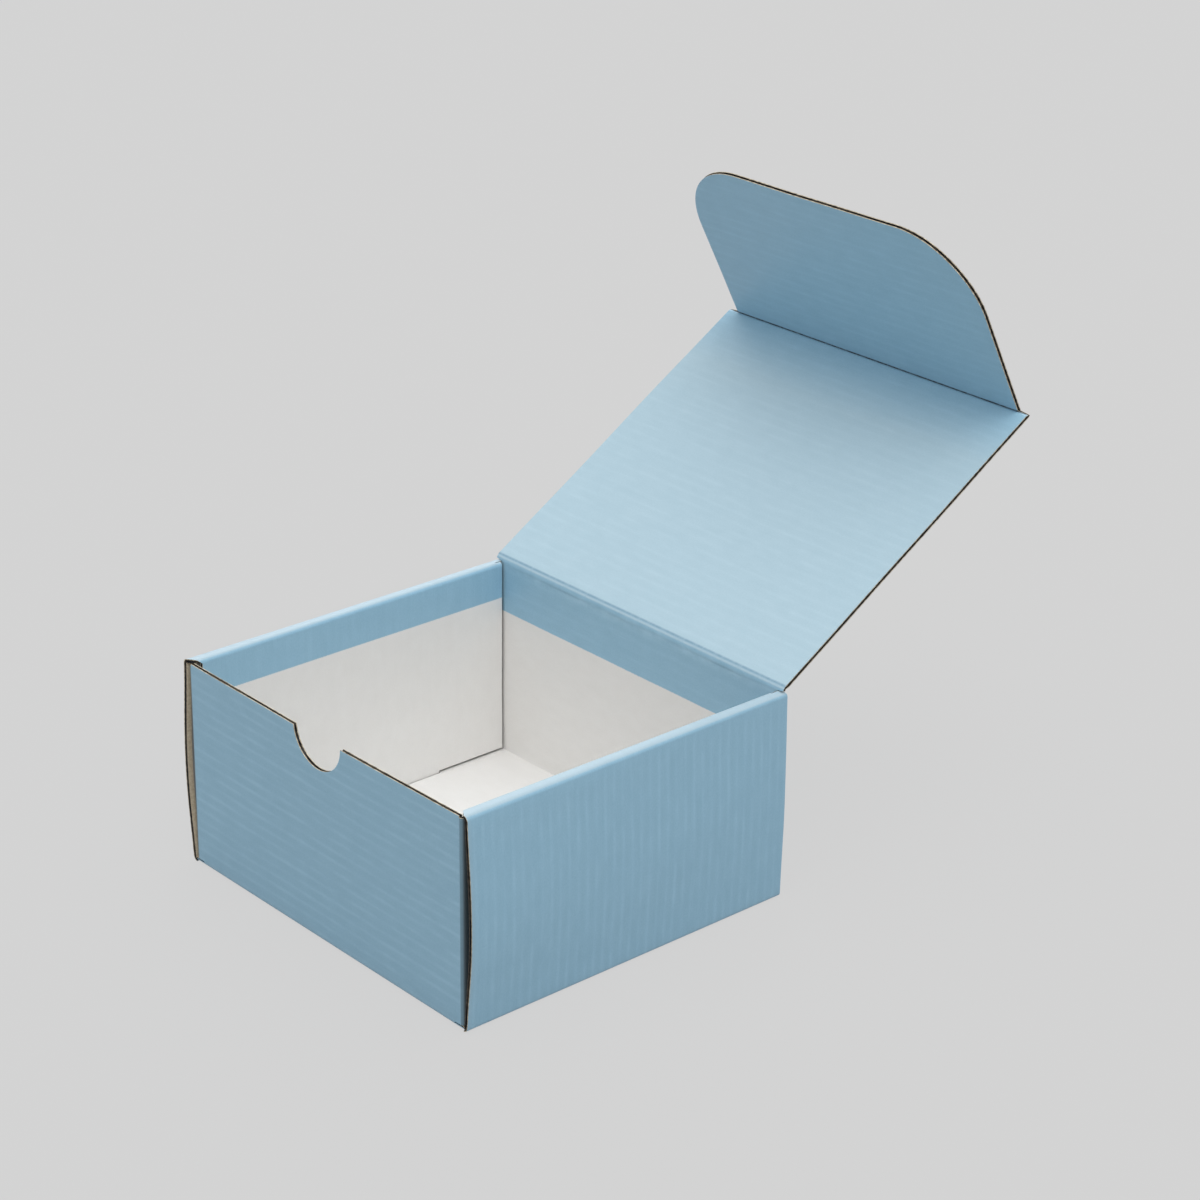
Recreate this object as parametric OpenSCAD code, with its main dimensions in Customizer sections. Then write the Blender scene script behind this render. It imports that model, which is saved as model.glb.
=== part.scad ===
// Small corrugated mailer box with a hinged lid, a tuck flap and a thumb cut in its front panel.
// Origin: centre of the base. X runs along the front, Y from the front to the back, Z up.

/* [Box] */
// Outer width, across the two side walls
box_w = 132; // [100:1:200]
// Outer depth, from the front panel to the back panel
box_d = 120.6; // [90:0.1:180]
// Height of the rolled side walls
side_h = 67.6; // [45:0.1:110]

/* [Board] */
// Thickness of the corrugated board
board_t = 1.3; // [1:0.1:1.8]
// Thickness of the board where a hinge crease crushes it
crease_t = 0.8; // [0.6:0.1:1]
// Width of the crushed band along a hinge crease
crease_w = 5; // [3:0.5:8]

/* [Front panel] */
// How far the front panel's top edge lies below the side walls' top
front_drop = 1; // [0.5:0.1:6]
// Width of the thumb cut at the panel's top edge
thumb_w = 22; // [16:0.5:40]
// Depth of the thumb cut
thumb_depth = 10.3; // [6:0.1:20]

/* [Side walls] */
// Space between the ends of two hidden dust flaps that face each other
dust_space = 24.6; // [5:0.2:60]
// Width of each locking tab
tab_w = 14; // [6:1:24]
// Distance between the middles of the two tabs of a side wall
tab_pitch = 48; // [30:1:70]

/* [Lid] */
// How far each side edge of the lid lies inside the side wall's outer face
lid_inset = 0.65; // [0.3:0.05:3]
// Angle of the lid from closed, as it stands open
lid_open = 148.5; // [90:0.5:180]

/* [Tuck flap] */
// How much shorter the flap is than the side walls are high
flap_short = 2.1; // [1:0.1:12]
// Radius of the flap's two free corners
flap_corner_r = 27; // [5:0.5:30]
// Angle by which the flap is folded down from the lid's plane
flap_fold = 86.2; // [60:0.5:100]

/* [Clearances] */
// Air between two layers of board that lie side by side
layer_gap = 0.15; // [0.1:0.05:0.3]
// Air under the closed lid, beside the flap and around a locking tab
fit_gap = 0.3; // [0.2:0.05:0.5]
// Air between a crushed crease and the panel that turns on it
hinge_gap = 0.7; // [0.6:0.05:0.9]
// Slot between the front panel and the inner side walls
flap_slot = 2; // [1.6:0.1:4]

/* [Hidden] */
$fn = 64;

outside_blue = "#7A9CB2";
lid_blue = "#B2D2DF";
flap_blue = "#7597AD";

half_w = box_w / 2;
half_d = box_d / 2;
half_t = board_t / 2;

// A fold's outer radius leaves the next layer its gap
fold_r = board_t + layer_gap;
// Three layers of board and two gaps make one rolled side wall
roll_w = 3 * board_t + 2 * layer_gap;
inner_half_w = half_w - roll_w;
inner_front_y = -half_d + board_t + flap_slot;
inner_back_y = half_d - fold_r - layer_gap;
inner_wall_l = inner_back_y - inner_front_y;

// The front and back panels stand between the outer side walls
panel_half_w = half_w - fold_r;
front_h = side_h - front_drop;

// The dust flaps lie under the rolls' tops and over the folds at the side walls' feet
dust_l = (box_d - dust_space) / 2;
dust_h = side_h - board_t - 2 * layer_gap;
dust_foot_z = fold_r + layer_gap;

// The thumb cut is the arc through its two top corners and its lowest point
thumb_r = (pow(thumb_w / 2, 2) + pow(thumb_depth, 2)) / (2 * thumb_depth);
thumb_z = front_h - thumb_depth + thumb_r;

// The closed lid lies just above the side walls, so the hinge is half a board higher still
hinge_y = half_d - half_t;
hinge_z = side_h + fit_gap + half_t;
lid_w = box_w - 2 * lid_inset;
lid_l = box_d - 2 * board_t - fit_gap;
lid_rise = 180 - lid_open;
flap_w = 2 * (inner_half_w - fit_gap);
flap_l = side_h - flap_short;
crease_end_r = crease_t / 2;
crease_seat_r = crease_end_r + hinge_gap;
crease_half_w = crease_w / 2;

tab_end_z = 0.3;
cut_over = 1;

// Draws a front view (X, Z) and extrudes it from y0 to y1
module along_y(y0, y1) {
    translate([0, y1, 0])
        rotate([90, 0, 0])
            linear_extrude(y1 - y0)
                children();
}

// Draws a side view (Y, Z) and extrudes it from x0 to x1
module along_x(x0, x1) {
    translate([x0, 0, 0])
        rotate([90, 0, 90])
            linear_extrude(x1 - x0)
                children();
}

// Section of what a fold's outer radius takes off a square corner at the origin, between +X and +Y
module fold_cutter_view() {
    difference() {
        translate([-cut_over, -cut_over])
            square(fold_r + cut_over);
        translate([fold_r, fold_r])
            circle(fold_r);
    }
}

// Plan of the roll's top: cut back at the front for the flap and at the back for the back panel
module roll_plan() {
    polygon([
        [half_w, -half_d],
        [half_w, half_d],
        [half_w - board_t, half_d],
        [half_w - board_t, inner_back_y],
        [inner_half_w, inner_back_y],
        [inner_half_w, inner_front_y],
        [half_w - board_t, -half_d],
    ]);
}

// Corner cut off an outer wall's back end, so that it stays clear of the lid laid right back
module lid_relief() {
    translate([0, half_d, side_h])
        rotate([45, 0, 0])
            cube([2 * box_w, fold_r, fold_r], center = true);
}

// The outer side wall with the full thickness of the folds at its foot and its top
module outer_wall() {
    difference() {
        union() {
            translate([half_w - board_t, -half_d, 0])
                cube([board_t, box_d, side_h]);
            for (z = [0, side_h - fold_r])
                translate([half_w - fold_r, -half_d, z])
                    cube([fold_r, box_d, fold_r]);
        }
        lid_relief();
    }
}

// The flat top and the fold that leads down from it to the inner wall
module roll_top() {
    translate([0, 0, side_h - board_t])
        linear_extrude(board_t)
            roll_plan();
    intersection() {
        translate([inner_half_w, -half_d, side_h - fold_r])
            cube([fold_r, box_d, fold_r]);
        linear_extrude(side_h + cut_over)
            roll_plan();
    }
}

// One locking tab, or with room > 0 the slot that takes it
module tab(room) {
    translate([inner_half_w - room, -tab_w / 2 - room, 0])
        cube([board_t + 2 * room, tab_w + 2 * room, fold_r + cut_over]);
}

module at_tabs() {
    middle_y = (inner_front_y + inner_back_y) / 2;
    for (side = [-1, 1])
        translate([0, middle_y + side * tab_pitch / 2, 0])
            children();
}

module inner_wall() {
    translate([inner_half_w, inner_front_y, fold_r])
        cube([board_t, inner_wall_l, side_h - fold_r]);
    at_tabs()
        translate([0, 0, tab_end_z])
            tab(0);
}

module side_wall() {
    outer_wall();
    roll_top();
    inner_wall();
}

// Rounds the folds of one side: at the foot, at the roll's outer edge and at its inner edge
module side_cutters() {
    along_y(-half_d - cut_over, half_d + cut_over) {
        translate([half_w, 0])
            mirror([1, 0])
                fold_cutter_view();
        translate([half_w, side_h])
            rotate(180)
                fold_cutter_view();
    }
    along_y(-half_d + fold_r, half_d - fold_r)
        translate([inner_half_w, side_h])
            mirror([0, 1])
                fold_cutter_view();
}

module floor_panel() {
    difference() {
        translate([-half_w + half_t, -half_d, 0])
            cube([box_w - board_t, box_d, board_t]);
        for (side = [0, 1])
            mirror([side, 0, 0])
                at_tabs()
                    translate([0, 0, -cut_over])
                        tab(fit_gap);
    }
}

// Front panel up to fold_h, with the folds at its foot and its sides and the two dust flaps
module flapped_panel(fold_h) {
    difference() {
        union() {
            translate([-panel_half_w, -half_d, half_t])
                cube([2 * panel_half_w, board_t, fold_h - half_t]);
            for (side = [0, 1])
                mirror([side, 0, 0]) {
                    translate([panel_half_w - fold_r, -half_d, half_t])
                        cube([fold_r, fold_r, fold_h - half_t]);
                    translate([panel_half_w - board_t, -half_d + half_t, dust_foot_z])
                        cube([board_t, dust_l - half_t, dust_h - dust_foot_z]);
                }
        }
        for (side = [0, 1])
            mirror([side, 0, 0])
                linear_extrude(side_h)
                    translate([panel_half_w, -half_d])
                        mirror([1, 0])
                            fold_cutter_view();
    }
    translate([-half_w + half_t, -half_d, 0])
        cube([box_w - board_t, fold_r, fold_r]);
}

module front_panel() {
    difference() {
        union() {
            flapped_panel(min(front_h, dust_h));
            translate([-panel_half_w + fold_r, -half_d, half_t])
                cube([2 * (panel_half_w - fold_r), board_t, front_h - half_t]);
        }
        translate([0, -half_d + board_t + cut_over, thumb_z])
            rotate([90, 0, 0])
                cylinder(r = thumb_r, h = board_t + 2 * cut_over);
    }
}

// Side view of the back panel: plain board that thins towards the crease with the lid
module back_panel_view() {
    translate([hinge_y, hinge_z])
        circle(crease_end_r);
    polygon([
        [half_d - board_t, half_t],
        [half_d, half_t],
        [half_d, hinge_z - crease_half_w],
        [hinge_y + crease_end_r, hinge_z],
        [hinge_y - crease_end_r, hinge_z],
        [half_d - board_t, hinge_z - crease_half_w],
    ]);
}

module back_panel() {
    mirror([0, 1, 0])
        flapped_panel(dust_h);
    along_x(-panel_half_w + fold_r, panel_half_w - fold_r)
        back_panel_view();
}

// Rounds the folds at the foot of the front and back panels, between the side walls
module foot_cutters() {
    for (side = [0, 1])
        mirror([0, side, 0])
            along_x(-panel_half_w, panel_half_w)
                translate([-half_d, 0])
                    fold_cutter_view();
}

module tray() {
    color(outside_blue)
        difference() {
            union() {
                floor_panel();
                front_panel();
                back_panel();
                for (side = [0, 1])
                    mirror([side, 0, 0])
                        side_wall();
            }
            for (side = [0, 1])
                mirror([side, 0, 0])
                    side_cutters();
            foot_cutters();
        }
}

// Side view of a panel that starts at a crease at the origin and runs along +Y
module hinged_panel_view(length) {
    difference() {
        polygon([
            [0, -crease_end_r],
            [crease_half_w, -half_t],
            [length, -half_t],
            [length, half_t],
            [crease_half_w, half_t],
            [0, crease_end_r],
        ]);
        circle(crease_seat_r);
    }
}

// The lid's far end thins towards the crease with the flap
module lid_view() {
    start_l = lid_l - crease_half_w;
    hinged_panel_view(start_l);
    translate([lid_l, 0])
        circle(crease_end_r);
    polygon([
        [start_l, -half_t],
        [lid_l, -crease_end_r],
        [lid_l, crease_end_r],
        [start_l, half_t],
    ]);
}

// Carries its children from the closed-flat frame of the lid to where the lid stands
module at_lid() {
    translate([0, hinge_y, hinge_z])
        rotate([lid_rise, 0, 0])
            children();
}

module lid() {
    color(lid_blue)
        at_lid()
            along_x(-lid_w / 2, lid_w / 2)
                lid_view();
}

// Outline of the flap, its crease on the X axis and its free corners round
module flap_outline() {
    straight_w = flap_w - 2 * flap_corner_r;
    translate([-flap_w / 2, 0])
        square([flap_w, flap_l - flap_corner_r]);
    translate([-straight_w / 2, 0])
        square([straight_w, flap_l]);
    for (side = [-1, 1])
        translate([side * straight_w / 2, flap_l - flap_corner_r])
            circle(flap_corner_r, $fn = 128);
}

module tuck_flap() {
    color(flap_blue)
        at_lid()
            translate([0, lid_l, 0])
                rotate([flap_fold, 0, 0])
                    intersection() {
                        along_x(-flap_w / 2, flap_w / 2)
                            hinged_panel_view(flap_l);
                        translate([0, 0, -half_t])
                            linear_extrude(board_t)
                                flap_outline();
                    }
}

tray();
lid();
tuck_flap();
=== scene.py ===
# %% [markdown]
# The box is one die-cut blank of corrugated board, folded up without glue.
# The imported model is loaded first, as the fixed frame that every board is folded round.
# Its sizes are repeated here in millimetres, because the boards are drawn from them.

# %% Frame and sizes
import bpy, bmesh, math
from mathutils import Vector, Matrix


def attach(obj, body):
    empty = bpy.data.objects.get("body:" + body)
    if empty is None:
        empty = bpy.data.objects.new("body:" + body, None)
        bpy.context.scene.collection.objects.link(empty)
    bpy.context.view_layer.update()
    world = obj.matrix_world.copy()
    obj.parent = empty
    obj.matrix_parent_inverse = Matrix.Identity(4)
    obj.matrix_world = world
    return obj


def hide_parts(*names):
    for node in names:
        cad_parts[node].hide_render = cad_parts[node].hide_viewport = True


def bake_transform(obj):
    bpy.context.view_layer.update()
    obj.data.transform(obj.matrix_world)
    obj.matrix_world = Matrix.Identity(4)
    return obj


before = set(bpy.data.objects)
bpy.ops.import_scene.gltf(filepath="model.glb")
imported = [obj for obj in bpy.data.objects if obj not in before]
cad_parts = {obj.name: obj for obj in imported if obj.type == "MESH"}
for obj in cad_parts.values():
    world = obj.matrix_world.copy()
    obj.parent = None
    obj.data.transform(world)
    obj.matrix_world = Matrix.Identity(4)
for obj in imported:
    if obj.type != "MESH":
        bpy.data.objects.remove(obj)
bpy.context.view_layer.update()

MM = 0.001
BOX_W, BOX_D, SIDE_H = 132.0, 120.6, 67.6
BOARD_T, GAP = 1.3, 0.15
HINGE_LIFT, LID_SHORT, FRONT_DROP = 0.3, 0.3, 1.0
FOLD_R = BOARD_T + GAP
QUARTER = FOLD_R * math.pi / 2
RISE = QUARTER - FOLD_R
HALF_W, HALF_D = BOX_W / 2, BOX_D / 2
PANEL_X, FACE_X = HALF_W - FOLD_R, HALF_W - 2 * FOLD_R
FLOOR_Y = HALF_D - FOLD_R
HINGE_Y, HINGE_Z = HALF_D - BOARD_T / 2, SIDE_H + HINGE_LIFT + BOARD_T / 2

# %% [markdown]
# E-flute board has about 39 flutes across this box's width, so one flute is 3.39 mm.
# All flutes of a blank run one way. Here that is along the box's front, and up the side walls.
# Every point of a board keeps its place on the flat blank in the attribute "blank", in millimetres,
# so that print, flutes and fibres carry on over each fold as they do on real board.
# A second attribute, "coat", holds how far a point is inside the ink, how much painted shade it carries (below zero,
# painted sheen), and how much its flutes show.

# %% Board facts
FLUTE = 3.39
LINER = 0.2
MEDIUM = 0.06
RECESS = 0.8
CELL = 4.0
ALL_INK, NO_INK = 9.0, -9.0


def ripple(u, v, seed=0.0):
    """Slow unevenness of a hand-folded panel, in millimetres."""
    a = math.sin(u * 0.083 + seed) * math.sin(v * 0.061 + 1.3 * seed)
    b = math.sin(u * 0.171 - v * 0.112 + 2.1 * seed)
    return 0.09 * a + 0.04 * b


def smooth(t):
    """0 to 1 with soft ends."""
    t = min(max(t, 0.0), 1.0)
    return t * t * (3 - 2 * t)


def between(a, b, step=CELL):
    """Evenly spaced inner values between a and b, no further apart than step."""
    n = max(1, math.ceil(abs(b - a) / step))
    return [a + (b - a) * i / n for i in range(1, n)]


def arc_lines(start, n=8):
    """Lines across a quarter fold that starts at this distance along a board."""
    return [start + QUARTER * i / n for i in range(n + 1)]


print("flutes across the width", round(BOX_W / FLUTE, 1))

# %% [markdown]
# Each board is cut out flat first, as it would be on the die, and sliced into cells that can bend.
# Several folded panels are collected in one list of points, so that the tray is one mesh.

# %% Cutting a blank
class Blank:
    """Collects the folded panels of one object."""

    def __init__(self):
        self.points, self.faces, self.mats = [], [], []
        self.blank, self.coat, self.shared = [], [], {}

    def point(self, p, uv, coat, share=False):
        key = (round(p[0], 3), round(p[1], 3), round(p[2], 3))
        if share and key in self.shared:
            return self.shared[key]
        self.points.append((p[0] * MM, p[1] * MM, p[2] * MM))
        self.blank.append((uv[0], uv[1], 0.0))
        self.coat.append(coat)
        if share:
            self.shared[key] = len(self.points) - 1
        return len(self.points) - 1

    def face(self, ids, mat, flip):
        if len(set(ids)) == len(ids):
            self.faces.append(ids[::-1] if flip else ids)
            self.mats.append(mat)


def cut_blank(outline, lines_a, lines_b, holes=()):
    """A flat outline, sliced into cells along both sets of lines, with its holes taken out."""
    bm = bmesh.new()
    bm.faces.new([bm.verts.new((a, b, 0)) for a, b in outline])
    for axis, lines in ((0, lines_a), (1, lines_b)):
        no = Vector((1, 0, 0)) if axis == 0 else Vector((0, 1, 0))
        for value in sorted(set(round(x, 4) for x in lines)):
            whole = bm.verts[:] + bm.edges[:] + bm.faces[:]
            bmesh.ops.bisect_plane(bm, geom=whole, dist=1e-5, plane_co=no * value, plane_no=no)
    middles = [(f, f.calc_center_median()) for f in bm.faces]
    inside = [f for f, m in middles if any(h[0] < m.x < h[1] and h[2] < m.y < h[3] for h in holes)]
    bmesh.ops.delete(bm, geom=inside, context="FACES")
    return bm


def inset_of(vert, raw):
    """Where a boundary point lands when every cut edge at it moves in by the depth of the groove."""
    rows = []
    for e in vert.link_edges:
        if len(e.link_faces) == 1:
            d = (e.verts[1].co - e.verts[0].co).normalized()
            n = Vector((-d.y, d.x, 0))
            mid = (e.verts[0].co + e.verts[1].co) / 2
            if n.dot(e.link_faces[0].calc_center_median() - mid) < 0:
                n = -n
            rows.append((n, RECESS if raw(e) else 0.0))
    if len(rows) != 2:
        return Vector((0, 0, 0))
    (n1, r1), (n2, r2) = rows
    det = n1.x * n2.y - n1.y * n2.x
    if abs(det) < 0.2:
        return (n1 + n2).normalized() * (r1 + r2) / 2
    return Vector(((r1 * n2.y - r2 * n1.y) / det, (r2 * n1.x - r1 * n2.x) / det, 0))


print("blank of", round(2 * FLOOR_Y + 2 * SIDE_H), "mm from front edge to hinge")

# %% [markdown]
# A raw edge of corrugated board shows two thin liners and, between them, the dark flutes.
# Round its cut edges the core is set back, and a wavy ribbon of medium runs in the groove,
# so that the edge is real relief and not a painted stripe. The cut wanders a little across the flutes.

# %% Folding a board
OUTSIDE, INSIDE, CUT, CORE, RIBBON, KRAFT_AS_SHADE = range(6)
GROOVE_STEP = 0.42


def left_handed(bm, fold):
    """True where a fold function mirrors the board, so that its faces turn inside out."""
    f = max(bm.faces, key=lambda face: face.calc_area()).calc_center_median()
    here, a, b = (Vector(fold(f.x + i, f.y + j, 0.5)) for i, j in ((0, 0), (0.01, 0), (0, 0.01)))
    through = Vector(fold(f.x, f.y, 1)) - Vector(fold(f.x, f.y, 0))
    return (a - here).cross(b - here).dot(through) < 0


def add_board(out, bm, fold, place, coat, joint=lambda a, b: False, lip=lambda b: False):
    """Folds a flat cut board into out. fold(a, b, k) is a point at depth k, from 0 outside to 1 inside.
    Where lip(b) is true the unprinted inside gets a kraft tint and the inner liner's cut gets the dark medium, both
    painted shade of the gap there."""
    def raw(e):
        m = (e.verts[0].co + e.verts[1].co) / 2
        return len(e.link_faces) == 1 and not joint(m.x, m.y)

    flip = left_handed(bm, fold)
    for k, side in ((0.0, OUTSIDE), (1.0, INSIDE)):
        ids = {}
        for v in bm.verts:
            a, b = v.co.x, v.co.y
            ids[v] = out.point(fold(a, b, k), place(a, b), coat(a, b, side), True)
        for f in bm.faces:
            ring = [ids[v] for v in f.verts]
            # Painted shade: under the lip the unprinted inside takes a kraft tint.
            bare = side == INSIDE and lip(f.calc_center_median().y)
            out.face(ring if side else ring[::-1], KRAFT_AS_SHADE if bare else side, flip)
    inset = {v: inset_of(v, raw) for v in bm.verts if v.is_boundary}
    for e in bm.edges:
        if raw(e):
            loop = e.link_loops[0]
            v0, v1 = loop.vert, loop.link_loop_next.vert
            # Painted shade: under the lip the inner liner's cut takes the dark medium.
            add_groove(out, v0.co, v1.co, v0.co + inset[v0], v1.co + inset[v1], fold, place, flip,
                       RIBBON if lip(v0.co.y) and lip(v1.co.y) else CUT)
    bm.free()


def add_groove(out, p0, p1, q0, q1, fold, place, flip, inner):
    """The cut edge from p0 to p1, with the core set back to q0 and q1 and the inner liner in material inner."""
    n = max(1, round((p1 - p0).length / GROOVE_STEP))
    rows = []
    for i in range(n + 1):
        p, q = p0.lerp(p1, i / n), q0.lerp(q1, i / n)
        u, v = place(p.x, p.y)
        wander = 0.8 * math.sin(u * 0.19 + v * 0.07) + 0.5 * math.sin(u * 0.47 - v * 0.31)
        wander += 0.35 * math.sin(u * 1.37 + v * 0.9)
        mid = 0.5 + (0.5 - LINER - MEDIUM) * math.cos(2 * math.pi * (v + wander) / FLUTE)
        near = p.lerp(q, 0.2)
        rows.append([(p, 0.0), (p, LINER), (q, LINER), (q, 1 - LINER), (p, 1 - LINER), (p, 1.0),
                     (near, mid - MEDIUM), (near, mid + MEDIUM), (q, mid + MEDIUM), (q, mid - MEDIUM)])
    strips = ((0, 1, CUT), (1, 2, CORE), (2, 3, CORE), (3, 4, CORE), (4, 5, inner),
              (9, 6, RIBBON), (6, 7, RIBBON), (7, 8, RIBBON))
    for a, b, mat in strips:
        last = None
        for row in rows:
            pair = [out.point(fold(x.x, x.y, k), place(x.x, x.y), (0.0, 0.0, 0.0)) for x, k in (row[a], row[b])]
            if last:
                out.face([last[0], pair[0], pair[1], last[1]], mat, flip)
            last = pair


def finish_board(out, name):
    """Turns the collected panels into one mesh object with the board's six materials."""
    mesh = bpy.data.meshes.new(name)
    mesh.from_pydata(out.points, [], out.faces)
    for key, values in (("blank", out.blank), ("coat", out.coat)):
        layer = mesh.attributes.new(key, "FLOAT_VECTOR", "POINT")
        layer.data.foreach_set("vector", [c for v in values for c in v])
    mesh.polygons.foreach_set("material_index", out.mats)
    mesh.polygons.foreach_set("use_smooth", [m in (OUTSIDE, INSIDE) for m in out.mats])
    for m in BOARD:
        mesh.materials.append(m)
    mesh.update()
    obj = bpy.data.objects.new(name, mesh)
    bpy.context.collection.objects.link(obj)
    print(name, len(mesh.polygons), "faces")
    return obj


# %% [markdown]
# A material is a small graph of nodes, and colours are written as sRGB hex and turned to linear by one function.
# Patterns are driven by the blank's millimetres, so a scale of 0.3 is one blob in about 3 mm of board.

# %% Node helpers
def colour(hex_code):
    """Linear RGBA of an sRGB hex colour."""
    parts = [int(hex_code[i:i + 2], 16) / 255 for i in (1, 3, 5)]
    return tuple(c / 12.92 if c <= 0.04045 else ((c + 0.055) / 1.055) ** 2.4 for c in parts) + (1.0,)


def new_material(name):
    """A node material with its principled shader."""
    mat = bpy.data.materials.new(name)
    mat.use_nodes = True
    return mat, mat.node_tree.nodes["Principled BSDF"]


def add(mat, kind, links=(), **settings):
    """Adds one node. Settings are its properties or inputs, and links maps inputs to outputs."""
    node = mat.node_tree.nodes.new("ShaderNode" + kind)
    for key, value in settings.items():
        if hasattr(node, key):
            setattr(node, key, value)
        else:
            node.inputs[int(key[1:]) if key[1:].isdigit() else key.replace("_", " ")].default_value = value
    for key, source in dict(links).items():
        link(mat, source, node.inputs[key])
    return node


def link(mat, source, target):
    """Joins an output to an input, or writes a plain value into it."""
    if isinstance(source, (int, float, tuple)):
        target.default_value = source
    else:
        mat.node_tree.links.new(source, target)


def maths(mat, operation, a, b=0.0, clamp=False):
    """A math node on two values, each an output or a number."""
    return add(mat, "Math", {0: a, 1: b}, operation=operation, use_clamp=clamp).outputs[0]


def total(mat, start, *parts, clamp=False):
    """start plus the sum of each value times its weight."""
    for i, (value, weight) in enumerate(parts):
        last = clamp and i == len(parts) - 1
        start = add(mat, "Math", {0: value, 1: weight, 2: start}, operation="MULTIPLY_ADD", use_clamp=last).outputs[0]
    return start


def noise(mat, vector, along, across, detail=3.0):
    """Noise on the blank, with its scale along the flutes and across them in blobs for each millimetre."""
    scaled = add(mat, "VectorMath", {0: vector}, operation="MULTIPLY", _1=(along, across, 1.0)).outputs[0]
    return add(mat, "TexNoise", {"Vector": scaled}, Scale=1.0, Detail=detail, Roughness=0.6).outputs[0]


def mix_colour(mat, factor, a, b):
    """Mixes two colours, each an output or a hex code."""
    a, b = (colour(x) if isinstance(x, str) else x for x in (a, b))
    return add(mat, "Mix", {0: factor, 6: a, 7: b}, data_type="RGBA").outputs[2]


def line_at(mat, v, at, half):
    """1 on a line across the blank, falling to 0 at half a width from it."""
    away = maths(mat, "ABSOLUTE", maths(mat, "SUBTRACT", v, at))
    return maths(mat, "SUBTRACT", 1.0, maths(mat, "DIVIDE", away, half), True)


print("ink", [round(c, 3) for c in colour("#9CC5DC")[:3]])

# %% [markdown]
# The ink is a light blue flood coat under a satin varnish, on white-lined board.
# On the lid's face the ink is painted lighter away from the flap, as painted light, and keeps its deeper tone near
# the flap, where the flap shades it.
# The varnish gives the roll tops a sheen where the light from behind grazes them, and a painted sheen makes them
# lighter still; a painted highlight lightens the side walls' front edges.
# The flutes show through as faint ribs that come and go, because the liner is glued to their crests,
# and the ink is slightly cloudy. At the flap crease the crushed ink is cracked to the brown core.
# At the hinge a painted highlight, partly the crushed ink's own lightness, lies on the crushed ridge, a painted shade
# lies in the valley just above it, and below the hinge a ragged painted light lies on the crease's soft shoulder.

# %% Printed board
LID_L = BOX_D - 2 * BOARD_T - LID_SHORT
V_LID = FLOOR_Y + RISE + HINGE_Z
V_FLAP = V_LID + LID_L


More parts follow.
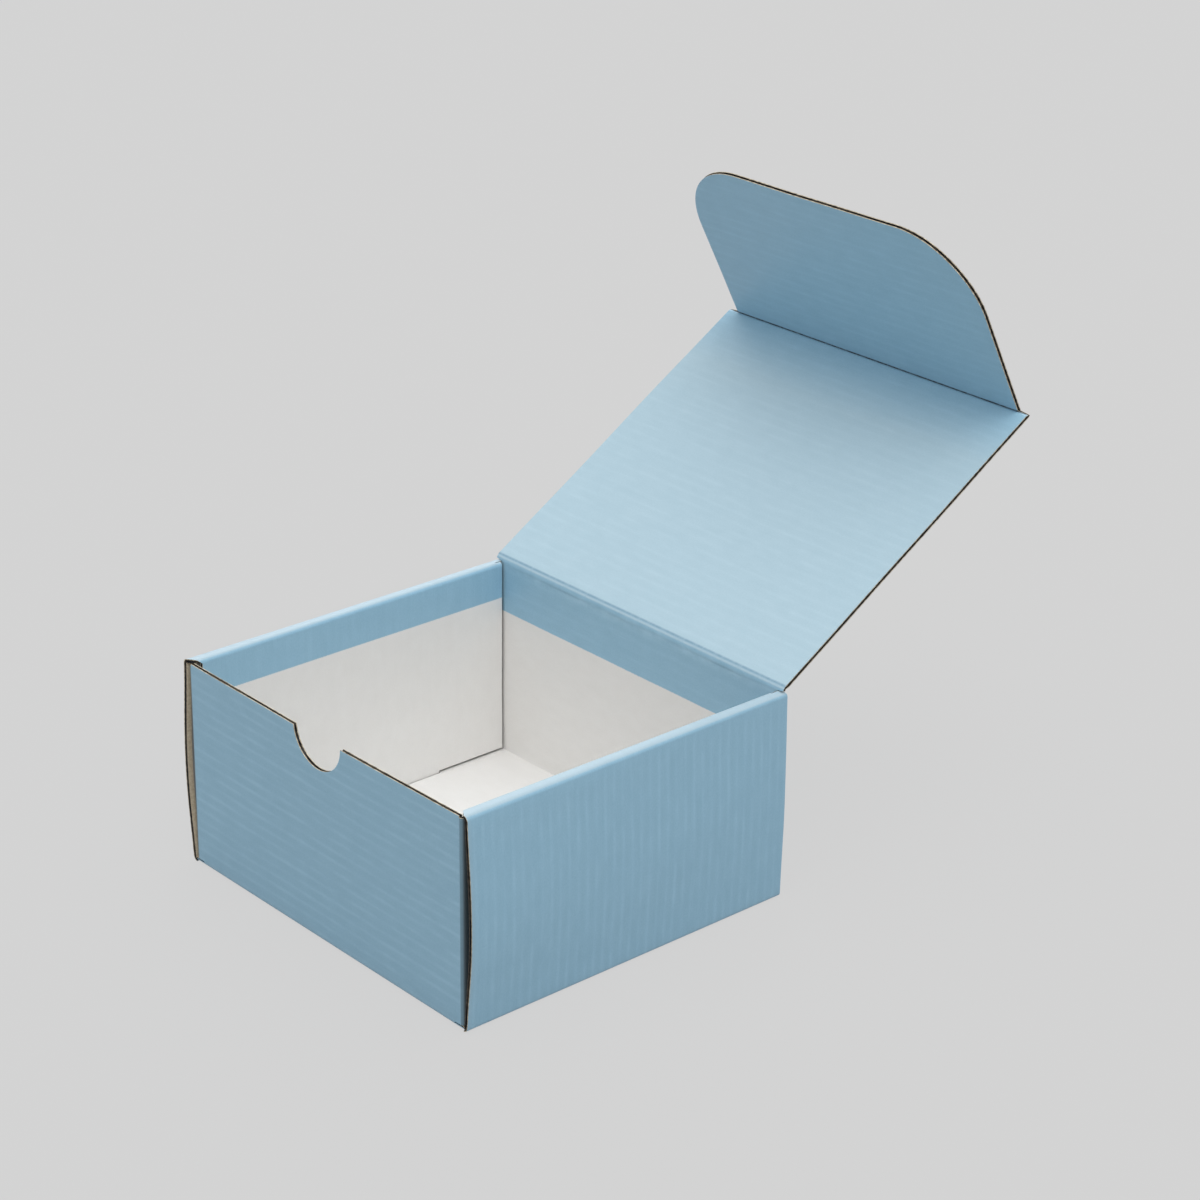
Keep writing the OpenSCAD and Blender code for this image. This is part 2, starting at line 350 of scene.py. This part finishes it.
def printed_board(name, creased):
    """White-lined board with a flood coat of ink. The creased side has the lid's face, painted lighter away from the
    flap as light, and its two creases with their crack and their painted light and shade.
    """
    mat, shader = new_material(name)
    blank = add(mat, "Attribute", attribute_name="blank").outputs["Vector"]
    coat = add(mat, "Attribute", attribute_name="coat").outputs["Vector"]
    ink_edge, painted_shade, flutes = add(mat, "SeparateXYZ", {0: coat}).outputs
    v = add(mat, "SeparateXYZ", {0: blank}).outputs[1]
    drift = noise(mat, blank, 0.012, 0.05, 2.0)
    patch = noise(mat, blank, 0.08, 0.15)
    streak = noise(mat, blank, 0.04, 0.8)
    cloud = noise(mat, blank, 0.14, 0.26)
    grain = noise(mat, blank, 1.5, 2.1)
    wave = maths(mat, "COSINE", total(mat, 0.0, (v, 2 * math.pi / FLUTE), (drift, 2.5)))
    crest = maths(mat, "POWER", total(mat, 0.5, (wave, 0.5)), 3.0)
    strength = maths(mat, "MULTIPLY", flutes, total(mat, -0.9, (patch, 2.8), clamp=True))
    rib = maths(mat, "MULTIPLY", crest, strength)
    tone = total(mat, -0.65, (rib, 0.45), (streak, 0.4), (cloud, 0.7), (grain, 1.1), clamp=True)
    ink = mix_colour(mat, tone, "#8DB8D0", "#9FC8DF")
    if creased:
        # Painted light: on the lid the ink grows lighter away from the flap, and stays deeper where the flap shades
        # it.
        from_flap = total(mat, V_FLAP / 22, (v, -1 / 22), clamp=True)
        lid_painted_light = maths(mat, "MULTIPLY", total(mat, 0.3 - V_LID, (v, 1.0), clamp=True), from_flap)
        ink = mix_colour(mat, lid_painted_light, ink, mix_colour(mat, tone, "#AAC7D5", "#B8D2DF"))
    paper = mix_colour(mat, total(mat, -0.1, (cloud, 0.6), (grain, 0.6), clamp=True), "#E6E4E1", "#F2F1EF")
    coated = total(mat, 0.5, (ink_edge, 4.0), (total(mat, -0.5, (grain, 1.0)), 2.4), clamp=True)
    face = mix_colour(mat, coated, paper, ink)
    height = total(mat, 0.0, (rib, 0.4), (streak, 0.15), (cloud, 0.5), (grain, 0.4))
    if creased:
        dash = total(mat, -0.25, (noise(mat, blank, 0.7, 0.05), 2.2), clamp=True)
        crack = maths(mat, "MULTIPLY", line_at(mat, v, V_FLAP, 0.65), dash)
        # Painted light on the hinge's soft shoulder, a painted highlight on its crushed ridge that is partly the
        # crushed ink's lightness, and painted shade in the valley above.
        shoulder_light = maths(mat, "MULTIPLY", line_at(mat, v, V_LID - 1.9, 2.2), total(mat, -0.9, (cloud, 2.6), clamp=True))
        ridge_highlight_and_burnish = maths(mat, "MULTIPLY", line_at(mat, v, V_LID + 0.1, 0.4), total(mat, 0.1, (dash, 0.6)))
        valley_shade = maths(mat, "MULTIPLY", line_at(mat, v, V_LID + 0.8, 0.6), total(mat, 0.35, (dash, 0.5)))
        face = mix_colour(mat, shoulder_light, face, "#AAD1E6")
        face = mix_colour(mat, valley_shade, face, "#6F97B0")
        face = mix_colour(mat, ridge_highlight_and_burnish, face, "#C3D8E3")
        face = mix_colour(mat, crack, face, "#4A3A34")
        height = total(mat, height, (crack, -1.2), (ridge_highlight_and_burnish, 0.8), (valley_shade, -0.8))
    # Painted shade: a positive coat.y darkens the board toward near black where it lies in shade.
    face = mix_colour(mat, maths(mat, "MAXIMUM", painted_shade, 0.0), face, "#262728")
    # Painted sheen and highlight: a negative coat.y lightens the ink.
    painted_sheen = total(mat, 0.0, (painted_shade, -1.0), clamp=True)
    face = mix_colour(mat, painted_sheen, face, mix_colour(mat, tone, "#ADC3CF", "#B7CCD7"))
    link(mat, face, shader.inputs["Base Color"])
    link(mat, total(mat, 0.33, (grain, 0.12), (streak, 0.1)), shader.inputs["Roughness"])
    shader.inputs["IOR"].default_value = 1.48
    bump = add(mat, "Bump", {"Height": height}, Strength=0.3, Distance=0.00012)
    link(mat, bump.outputs[0], shader.inputs["Normal"])
    return mat


outside = printed_board("outside_print_satin", False)
inside = printed_board("inside_print_satin", True)
print("crease lines on the blank at", round(V_LID, 1), "and", round(V_FLAP, 1), "mm")

# %% [markdown]
# The cut liners are cream paper, and the fluted medium is brown recycled paper, painted darker for the shade it lies
# in.
# Where a side wall stands out past the front, its unprinted inside gets a kraft tint, painted shade of the gap in
# place of its white liner.

# %% Cut edges
def plain_paper(name, light, dark, scale):
    """Unprinted paper fibre, as the cut liners and the fluted medium show."""
    mat, shader = new_material(name)
    blank = add(mat, "Attribute", attribute_name="blank").outputs["Vector"]
    fibre = noise(mat, blank, scale, scale, 4.0)
    link(mat, mix_colour(mat, total(mat, -0.9, (fibre, 2.8), clamp=True), dark, light), shader.inputs["Base Color"])
    shader.inputs["Roughness"].default_value = 0.9
    bump = add(mat, "Bump", {"Height": fibre}, Strength=0.4, Distance=0.0001)
    link(mat, bump.outputs[0], shader.inputs["Normal"])
    return mat


cut_liner = plain_paper("cut_liner", "#E6DAC1", "#7F725C", 0.7)
core_dark = plain_paper("core_shadow", "#2E3135", "#1B1C1E", 0.8)
# Brown medium, painted darker for the shade in the groove.
medium = plain_paper("fluted_medium", "#655B4F", "#282523", 0.7)
# A kraft tint in place of the white inner face, painted shade of the gap it lies in.
kraft_as_shade = plain_paper("kraft_tint_painted_shade", "#E2D4BB", "#C8B79B", 0.9)
BOARD = [outside, inside, cut_liner, core_dark, medium, kraft_as_shade]
print("materials", [m.name for m in BOARD])

# %% [markdown]
# A rolled side wall goes up from the floor, over the top and down again inside,
# where two tabs lock it into slots in the floor. The outer layer springs out a little, most at the open front.
# Its path is followed along the outside of the board, so folds are quarter turns of that path.

# %% Path of a side wall
INNER_X = HALF_W - 3 * BOARD_T - 2 * GAP
UP = QUARTER + SIDE_H - 2 * FOLD_R
TOP = UP + QUARTER
FLAT = PANEL_X - INNER_X - FOLD_R
DOWN = TOP + FLAT + QUARTER
WALL_END = DOWN + SIDE_H - 2 * FOLD_R - 0.6
TAB_END = WALL_END + FOLD_R + 0.3
SIDE_BAND, BACK_BAND = 12.1, 16.9
BAND = DOWN + SIDE_BAND - FOLD_R


SPRING, SPRING_FRONT, STAND_OFF, FLARE, INNER_BOW = 1.1, 0.55, 0.55, 0.25, 0.12
FLARE_END = 1.6


def side_path(s):
    """Point and outward normal (x, z) at s along the roll, from the floor's edge."""
    if s <= 0:
        return (PANEL_X + s, 0.0), (0.0, -1.0)
    if s < QUARTER:
        a = s / FOLD_R - math.pi / 2
        return (PANEL_X + FOLD_R * math.cos(a), FOLD_R + FOLD_R * math.sin(a)), (math.cos(a), math.sin(a))
    if s <= UP:
        return (HALF_W, FOLD_R + s - QUARTER), (1.0, 0.0)
    if s < TOP:
        a = (s - UP) / FOLD_R
        return (PANEL_X + FOLD_R * math.cos(a), SIDE_H - FOLD_R + FOLD_R * math.sin(a)), (math.cos(a), math.sin(a))
    if s <= TOP + FLAT:
        return (PANEL_X - (s - TOP), SIDE_H), (0.0, 1.0)
    if s < DOWN:
        a = math.pi / 2 + (s - TOP - FLAT) / FOLD_R
        x, z = INNER_X + FOLD_R, SIDE_H - FOLD_R
        return (x + FOLD_R * math.cos(a), z + FOLD_R * math.sin(a)), (math.cos(a), math.sin(a))
    return (INNER_X, SIDE_H - FOLD_R - (s - DOWN)), (-1.0, 0.0)


def side_fold(sign):
    """Folds the right wall for 1 and the left wall for -1."""
    def fold(s, y, k):
        (x, z), (nx, nz) = side_path(s)
        x, z = x - k * BOARD_T * nx, z - k * BOARD_T * nz
        rise = math.sin(math.pi * min(max(z / SIDE_H, 0), 1))
        if 0 < s < TOP + FLAT:
            x += rise ** 1.5 * (SPRING - SPRING_FRONT * y / HALF_D + ripple(z, y, 1.0 + sign))
            over = min(1.0, (TOP + FLAT - s) / (TOP + FLAT - UP))
            x += STAND_OFF * (0.5 - 0.5 * y / HALF_D) * smooth(z / 25) * over
            x += FLARE * smooth(1 - (y + HALF_D) / FLARE_END) * smooth(z / 4)
        elif s > DOWN:
            x += rise * (INNER_BOW + ripple(z, y, 3.0 + sign))
        return (sign * x, y, z)
    return fold


print("roll path", round(WALL_END, 1), "mm")

# %% [markdown]
# The roll's ends are cut on the slant at the front, where the front panel's dust flap slips in under the roll,
# and square at the back. Inside, the ink stops a little below the roll and the board below it is bare.

# %% Side walls
ROLL_FRONT_Y, ROLL_BACK_Y = -HALF_D + BOARD_T + 2.0, HALF_D - FOLD_R - 0.6
STEP_Y = -HALF_D + (ROLL_FRONT_Y + HALF_D) * GAP / (HALF_W - BOARD_T - INNER_X)
MID_Y = (ROLL_FRONT_Y + HALF_D - FOLD_R - GAP) / 2
TAB_W, TAB_PITCH = 14.0, 48.0
tabs = [(MID_Y + c - TAB_W / 2, MID_Y + c + TAB_W / 2) for c in (-TAB_PITCH / 2, TAB_PITCH / 2)]
wall_outline = [(0, -HALF_D), (TOP, -HALF_D), (TOP + 0.01, STEP_Y),
                (DOWN - 0.2, ROLL_FRONT_Y - 0.1), (DOWN, ROLL_FRONT_Y), (WALL_END, ROLL_FRONT_Y)]
for a, b in tabs:
    wall_outline += [(WALL_END, a), (TAB_END, a), (TAB_END, b), (WALL_END, b)]
wall_outline += [(WALL_END, ROLL_BACK_Y), (DOWN, ROLL_BACK_Y), (TOP + FLAT, ROLL_BACK_Y + 0.2),
                 (TOP + FLAT - 0.1, HALF_D - 0.9), (TOP, HALF_D - 0.3), (UP + 0.8, HALF_D), (0, HALF_D)]
wall_lines = arc_lines(0) + arc_lines(UP) + arc_lines(TOP + FLAT)
wall_lines += between(QUARTER, UP) + between(DOWN, WALL_END) + [BAND]
# Strengths of the painted sheen on the roll top and the painted highlight at the front edge.
LIP, ROLL_SHEEN, FRONT_HIGHLIGHT = 1.5, 0.85, 0.3


def wall_coat(s, y, side):
    """Ink, painted shade or painted highlight, and flutes of a side wall. The inside of its outer layer lies in the
    dark and is painted darker as shade.
    """
    if side:
        # Painted shade on the inside of the outer layer.
        return (NO_INK, 0.5 if s < DOWN - 0.5 else 0.0, 0.3)
    flutes = 1.0 if s < UP - 2 else 0.2
    # A painted sheen on the roll top and a painted highlight along the front edge lighten the ink.
    painted_sheen = smooth((s - UP - 0.8) / 0.6) * smooth((TOP + FLAT + 1.3 - s) / 0.6)
    front_highlight = FRONT_HIGHLIGHT * smooth(1 - (y + HALF_D) / FLARE_END)
    return (BAND - s, -max(ROLL_SHEEN * painted_sheen, front_highlight), flutes)


tray = Blank()
for sign in (1, -1):
    flare_lines = [-HALF_D + FLARE_END / 2, -HALF_D + FLARE_END]
    bm = cut_blank(wall_outline, wall_lines, between(-HALF_D, HALF_D) + flare_lines)
    add_board(tray, bm, side_fold(sign), lambda s, y, g=sign: (g * (PANEL_X + s), y), wall_coat,
              lambda s, y: s < 0.01, lambda y: y < -HALF_D + LIP)
print("side walls", len(tray.faces), "faces")

# %% [markdown]
# The floor is plain board with four slots for the tabs.

# %% Floor
SLOT_GAP = 0.3
slots = []
for sign in (1, -1):
    x0, x1 = sorted((sign * (INNER_X - SLOT_GAP), sign * (INNER_X + BOARD_T + SLOT_GAP)))
    slots += [(x0, x1, a - SLOT_GAP, b + SLOT_GAP) for a, b in tabs]
floor_outline = [(-PANEL_X, -FLOOR_Y), (PANEL_X, -FLOOR_Y), (PANEL_X, FLOOR_Y), (-PANEL_X, FLOOR_Y)]
bm = cut_blank(floor_outline, between(-PANEL_X, PANEL_X) + [x for s in slots for x in s[:2]],
               between(-FLOOR_Y, FLOOR_Y) + [y for s in slots for y in s[2:]], slots)
add_board(tray, bm, lambda x, y, k: (x, y, k * BOARD_T), lambda x, y: (x, y),
          lambda x, y, side: (NO_INK if side else ALL_INK, 0.0, 0.3),
          lambda x, y: abs(abs(x) - PANEL_X) < 0.01 or abs(abs(y) - FLOOR_Y) < 0.01)
print("slots", len(slots))

# %% [markdown]
# The front panel folds up from the floor, with the thumb cut in its top edge and a dust flap at each side.
# The back panel is the same without the cut, and carries on into the lid.
# The thumb cut is an arc through its two corners and its lowest point.

# %% Outlines of front and back
FRONT_TOP, DUST_TOP = SIDE_H - FRONT_DROP + RISE, SIDE_H - BOARD_T - 2 * GAP + RISE
LID_HALF, FLAP_HALF = 1.6, 1.1
BACK_TOP = HINGE_Z - LID_HALF + RISE
THUMB_W, THUMB_DEPTH = 22.0, 10.3
thumb_r = ((THUMB_W / 2) ** 2 + THUMB_DEPTH ** 2) / (2 * THUMB_DEPTH)
thumb_mid = FRONT_TOP - THUMB_DEPTH + thumb_r
start = math.atan2(FRONT_TOP - thumb_mid, THUMB_W / 2)
turns = [start - (math.pi + 2 * start) * i / 36 for i in range(37)]
thumb = [(thumb_r * math.cos(t), thumb_mid + thumb_r * math.sin(t)) for t in turns]


def panel_outline(top, notch=()):
    """Panel from its fold at the floor, with the notch cut in its top edge."""
    half = [(PANEL_X, 0), (PANEL_X, QUARTER), (FACE_X, QUARTER), (FACE_X, min(DUST_TOP, top - 0.01)), (FACE_X, top)]
    return half + list(notch) + [(-x, s) for x, s in half[::-1]]


def panel_joint(x, s):
    """Where a panel carries on into the floor or a dust flap, so that it has no cut edge."""
    return s < 0.01 or (abs(abs(x) - FACE_X) < 0.01 and QUARTER < s < DUST_TOP)


print("thumb cut radius", round(thumb_r, 2), "mm")

# %% [markdown]
# The front's free top edge bows out by less than a millimetre.
# A dust flap goes round the panel's upright fold and along inside the outer wall, where it is in the dark, and there
# it is painted dark as shade.

# %% Front, back and dust flaps
def panel_path(s):
    """Distance out from the floor's edge and height at s up a panel, with its outward normal."""
    if s < QUARTER:
        a = s / FOLD_R - math.pi / 2
        return (FOLD_R * math.cos(a), FOLD_R + FOLD_R * math.sin(a)), (math.cos(a), math.sin(a))
    return (FOLD_R, FOLD_R + s - QUARTER), (1.0, 0.0)


def panel_fold(sign, bow):
    """Folds the front for -1 and the back for 1."""
    def fold(x, s, k):
        (d, z), (nd, nz) = panel_path(s)
        d, z = d - k * BOARD_T * nd, z - k * BOARD_T * nz
        if s > QUARTER:
            d += max(0.0, 1 - (x / PANEL_X) ** 2) * (z / SIDE_H) ** 2 * bow
            d += ripple(x, z, 5.0) * min(1.0, z / 10) * (1 - (x / PANEL_X) ** 4)
        return (x, sign * (FLOOR_Y + d), z)
    return fold


def dust_fold(sign, side):
    """Folds a dust flap of the front for -1 or the back for 1, on either side."""
    def fold(a, z, k):
        turn = min(a / FOLD_R, math.pi / 2)
        x, y = FACE_X + (FOLD_R - k * BOARD_T) * math.sin(turn), (FOLD_R - k * BOARD_T) * math.cos(turn)
        return (side * x, sign * (FLOOR_Y + y - max(0.0, a - QUARTER)), z)
    return fold


def dust_coat(a, z, side):
    """Printed at the fold, and painted dark as shade from there on."""
    return (NO_INK if side else ALL_INK, 0.5 * smooth(a / 0.4) + 0.38 * smooth((a - 0.8) / 0.8), 0.3)


def panel_ink(x, s, side, sign):
    """Ink all over outside. Inside, the back has a band of ink at its top and the front has none."""
    if side == OUTSIDE:
        return (ALL_INK, 0.0, 1.4)
    return (s - RISE - (SIDE_H - BACK_BAND) if sign > 0 else NO_INK, 0.0, 0.5)


DUST_LENGTH, FRONT_BOW = 48.0, 0.7
DUST_A, DUST_Z = QUARTER + DUST_LENGTH - FOLD_R, DUST_TOP - RISE
for sign, top, bow, notch in ((-1, FRONT_TOP, FRONT_BOW, thumb), (1, BACK_TOP, 0.0, ())):
    bm = cut_blank(panel_outline(top, notch), between(-PANEL_X, PANEL_X) + [0.0],
                   arc_lines(0) + between(QUARTER, top))
    add_board(tray, bm, panel_fold(sign, bow), lambda x, s, g=sign: (x, g * (FLOOR_Y + s)),
              lambda x, s, side, g=sign: panel_ink(x, s, side, g),
              lambda x, s, t=top, g=sign: panel_joint(x, s) or (g > 0 and s > t - 0.01))
    for side in (1, -1):
        outline = [(0, FOLD_R), (DUST_A, FOLD_R + 0.3), (DUST_A, DUST_Z), (0, DUST_Z)]
        bm = cut_blank(outline, arc_lines(0) + between(QUARTER, DUST_A), between(FOLD_R, DUST_Z))
        add_board(tray, bm, dust_fold(sign, side),
                  lambda a, z, g=sign, h=side: (h * (FACE_X + a), g * (FLOOR_Y + RISE + z)),
                  dust_coat, lambda a, z: a < 0.01)
tray_board = finish_board(tray, "tray_board")

# %% [markdown]
# The lid and the tuck flap hang on two crushed creases.
# Each panel is flat board, and each crease is a strip of its own, bent between the two panels it joins.
# A crease turns about the CAD's own hinge axis.

# %% Creases
LID_RISE, FLAP_FOLD, CREASE_T = 31.5, 86.2, 0.8
LID_X, FLAP_X = 65.35, 61.5
tilt, up = math.radians(LID_RISE), math.radians(LID_RISE + FLAP_FOLD)
hinge = (HINGE_Y, HINGE_Z)
crease = (HINGE_Y + LID_L * math.cos(tilt), HINGE_Z + LID_L * math.sin(tilt))


def flat_fold(axis, angle, lift):
    """Flat board that leaves an axis (y, z) at an angle. lift(x, d) is its slight unevenness."""
    def fold(x, d, k):
        h = (k - 0.5) * BOARD_T + lift(x, d)
        c, s = math.cos(angle), math.sin(angle)
        return (x, axis[0] + d * c - h * s, axis[1] + d * s + h * c)
    return fold


def crease_fold(axis, before, after, half):
    """Board that bends about an axis (y, z) from one direction to the other, thinned where it is crushed."""
    def fold(x, d, k):
        a = math.radians(before + smooth((d + half) / (2 * half)) * (after - before))
        h = (k - 0.5) * (CREASE_T + (BOARD_T - CREASE_T) * smooth(abs(d) / half))
        return (x, axis[0] + d * math.cos(a) - h * math.sin(a), axis[1] + d * math.sin(a) + h * math.cos(a))
    return fold


def make_crease(name, x0, x1, axis, before, after, half, v0, step):
    """A strip that reaches out to x0 before its step and to x1 after it."""
    out = Blank()
    outline = [(x0, -half), (x0, step - 0.15), (x1, step + 0.15), (x1, half)]
    mirrored = [(-x, d) for x, d in outline[::-1]]
    bm = cut_blank(mirrored + outline, between(-x1, x1), [half * i / 5 for i in range(-4, 5)])
    add_board(out, bm, crease_fold(axis, before, after, half), lambda x, d: (x, v0 + d),
              lambda x, d, side: (ALL_INK, 0.0, 0.2), lambda x, d: abs(abs(d) - half) < 0.01)
    return finish_board(out, name)


lid_crease = make_crease("lid_crease", FACE_X, LID_X, hinge, 90.0, LID_RISE, LID_HALF, V_LID, -0.7)
flap_crease = make_crease("flap_crease", LID_X, FLAP_X, crease, LID_RISE, LID_RISE + FLAP_FOLD,
                          FLAP_HALF, V_FLAP, 0.15)

# %% [markdown]
# The lid is a plain rectangle, and its printed face is left bare of any sign.
# The tuck flap has two large round corners, so that it slips in behind the front.

# %% Lid and tuck flap
FLAP_L, FLAP_R = 65.5, 27.0
near, far = LID_HALF, LID_L - FLAP_HALF


def panel_coat(x, d, side):
    """Ink all over, with the flutes fainter inside."""
    return (ALL_INK, 0.0, 0.7 if side else 1.0)


lid = Blank()
lid_outline = [(-LID_X, near), (LID_X, near), (LID_X, far), (-LID_X, far)]
bm = cut_blank(lid_outline, between(-LID_X, LID_X), between(near, far))
add_board(lid, bm, flat_fold(hinge, tilt, lambda x, d: smooth(min(d - near, far - d) / 25) * ripple(x, d, 7.0) * 1.2),
          lambda x, d: (x, V_LID + d), panel_coat, lambda x, d: d < near + 0.01 or d > far - 0.01)
lid_board = finish_board(lid, "lid_board")

flap = Blank()
core_x, core_d = FLAP_X - FLAP_R, FLAP_L - FLAP_R
corner = [math.radians(90 * i / 24) for i in range(25)]
half_flap = [(FLAP_X, FLAP_HALF)]
half_flap += [(core_x + FLAP_R * math.cos(t), core_d + FLAP_R * math.sin(t)) for t in corner]
mirrored = [(-x, d) for x, d in half_flap[::-1]]
bm = cut_blank(half_flap + mirrored, between(-FLAP_X, FLAP_X), between(FLAP_HALF, FLAP_L))
add_board(flap, bm, flat_fold(crease, up, lambda x, d: smooth((d - FLAP_HALF) / 25) * ripple(x, d, 11.0)),
          lambda x, d: (x, V_FLAP + d), panel_coat, lambda x, d: d < FLAP_HALF + 0.01)
tuck_board = finish_board(flap, "tuck_board")

# %% [markdown]
# Each board rides on its body and stands for the plain CAD solid there.
# The two creases are baked in place and are not attached to a body.

# %% Bodies and creases
rigid = ((tray_board, "tray", "tray_board"), (lid_board, "lid", "lid_board"), (tuck_board, "tuck_flap", "flap_board"))
for obj, body, slot in rigid:
    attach(obj, body)
    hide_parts(body)


def at(axis, angle, d):
    """A point in metres at a distance from an axis."""
    a = math.radians(angle)
    return tuple(c * MM for c in (0.0, axis[0] + d * math.cos(a), axis[1] + d * math.sin(a)))


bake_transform(lid_crease)
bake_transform(flap_crease)
print("hinge at", [round(c, 2) for c in hinge], "flap crease at", [round(c, 2) for c in crease])

# %% [markdown]
# The photograph's camera stands in front of the box's right corner and looks down on it by about 24 degrees.
# Its lens and place come from fitting the box's known edges to the picture.

# %% Camera
CAM_AT = Vector((647.896, -529.269, 458.295)) * MM
AZIMUTH, ELEVATION, ROLL, LENS = 48.431, 23.6495, 0.7222, 94.147
az, el, roll = (math.radians(x) for x in (AZIMUTH, ELEVATION, ROLL))
look = Vector((-math.sin(az) * math.cos(el), math.cos(az) * math.cos(el), -math.sin(el)))
right = look.cross(Vector((0, 0, 1))).normalized()
above = right.cross(look)
right, above = right * math.cos(roll) + above * math.sin(roll), above * math.cos(roll) - right * math.sin(roll)
cam_data = bpy.data.cameras.new("camera")
cam_data.lens, cam_data.sensor_width = LENS, 36.0
cam_data.clip_start, cam_data.clip_end = 0.05, 50.0
cam = bpy.data.objects.new("camera", cam_data)
turn = Matrix((right, above, -look)).transposed()
cam.matrix_world = Matrix.Translation(CAM_AT) @ turn.to_4x4()
bpy.context.collection.objects.link(cam)
bpy.context.scene.camera = cam


def pixel(p):
    """Where a point in millimetres falls in the 1200 pixel photograph."""
    c = turn.transposed() @ (Vector(p) * MM - CAM_AT)
    f = LENS / 36 * 1200
    return (round(600 - f * c.x / c.z, 1), round(600 + f * c.y / c.z, 1))


print("front right foot", pixel((HALF_W, -HALF_D, 0)))
print("thumb cut", pixel((0, -HALF_D, SIDE_H - FRONT_DROP - THUMB_DEPTH)))

# %% [markdown]
# A plain grey studio: an even light from all round, a wide soft lamp overhead that leans back a little
# and leaves the front in half light, a weaker wide one from the front right that reaches the far inner walls
# over the near ones, and a weak one behind for the varnish's sheen.

# %% Lamps
scene = bpy.context.scene
scene.view_settings.view_transform = "Standard"


def soft_lamp(name, azimuth, elevation, strength, spread):
    """A distant lamp as wide as its spread in degrees, shining from that direction."""
    data = bpy.data.lights.new(name, "SUN")
    data.energy, data.angle = strength, math.radians(spread)
    obj = bpy.data.objects.new(name, data)
    a, e = math.radians(azimuth), math.radians(elevation)
    obj.rotation_mode = "QUATERNION"
    towards = Vector((math.sin(a) * math.cos(e), -math.cos(a) * math.cos(e), math.sin(e)))
    obj.rotation_quaternion = towards.to_track_quat("Z", "Y")
    bpy.context.collection.objects.link(obj)
    print(name, "puts", round(strength / math.pi * math.sin(e), 2), "on the floor")


soft_lamp("overhead", 180.0, 84.0, 1.55, 75.0)
soft_lamp("front_right", 55.0, 54.0, 0.85, 60.0)
soft_lamp("sheen_from_behind", 228.0, 26.0, 0.5, 36.0)

# %% [markdown]
# The floor shows the photograph's flat grey to the camera and in reflections, and keeps a faint shadow of the box.
# The world's own light stays apart from what the camera sees of it.

# %% Floor and world
def seen(mat):
    """1 for what the camera sees straight, in a mirror or through glass."""
    ray = add(mat, "LightPath").outputs
    return total(mat, ray["Is Camera Ray"], (ray["Is Glossy Ray"], 1.0), (ray["Is Transmission Ray"], 1.0),
                 clamp=True)


world = bpy.data.worlds.new("studio")
scene.world = world
world.use_nodes = True
sky = world.node_tree.nodes["Background"]
sky.inputs["Color"].default_value = colour("#FFFFFF")
sky.inputs["Strength"].default_value = 0.39
backdrop = add(world, "Background", Color=colour("#D3D3D3"), Strength=1.0)
either = add(world, "MixShader", {0: seen(world), 1: sky.outputs[0], 2: backdrop.outputs[0]})
link(world, either.outputs[0], world.node_tree.nodes["World Output"].inputs["Surface"])

floor_mat, floor_shader = new_material("studio_floor")
place = add(floor_mat, "TexCoord").outputs["Object"]
grain = add(floor_mat, "TexNoise", {"Vector": place}, Scale=40.0).outputs[0]
link(floor_mat, mix_colour(floor_mat, grain, "#B4B4B4", "#B8B8B8"), floor_shader.inputs["Base Color"])
floor_shader.inputs["Roughness"].default_value = 0.95
floor_shader.inputs["Specular IOR Level"].default_value = 0.0
shown = add(floor_mat, "Emission", Color=colour("#D5D5D5"), Strength=1.0)
share = maths(floor_mat, "MULTIPLY", seen(floor_mat), 0.9)
mixer = add(floor_mat, "MixShader", {0: share, 1: floor_shader.outputs[0], 2: shown.outputs[0]})
link(floor_mat, mixer.outputs[0], floor_mat.node_tree.nodes["Material Output"].inputs["Surface"])
plane = bpy.data.meshes.new("floor")
FLOOR_HALF, FLOOR_DROP = 12.0, -0.0002
corners = [(x * FLOOR_HALF, y * FLOOR_HALF, FLOOR_DROP) for x, y in ((-1, -1), (1, -1), (1, 1), (-1, 1))]
plane.from_pydata(corners, [], [(0, 1, 2, 3)])
plane.materials.append(floor_mat)
floor = bpy.data.objects.new("floor", plane)
bpy.context.collection.objects.link(floor)
print("floor grey", round(colour("#D3D3D3")[0], 3))
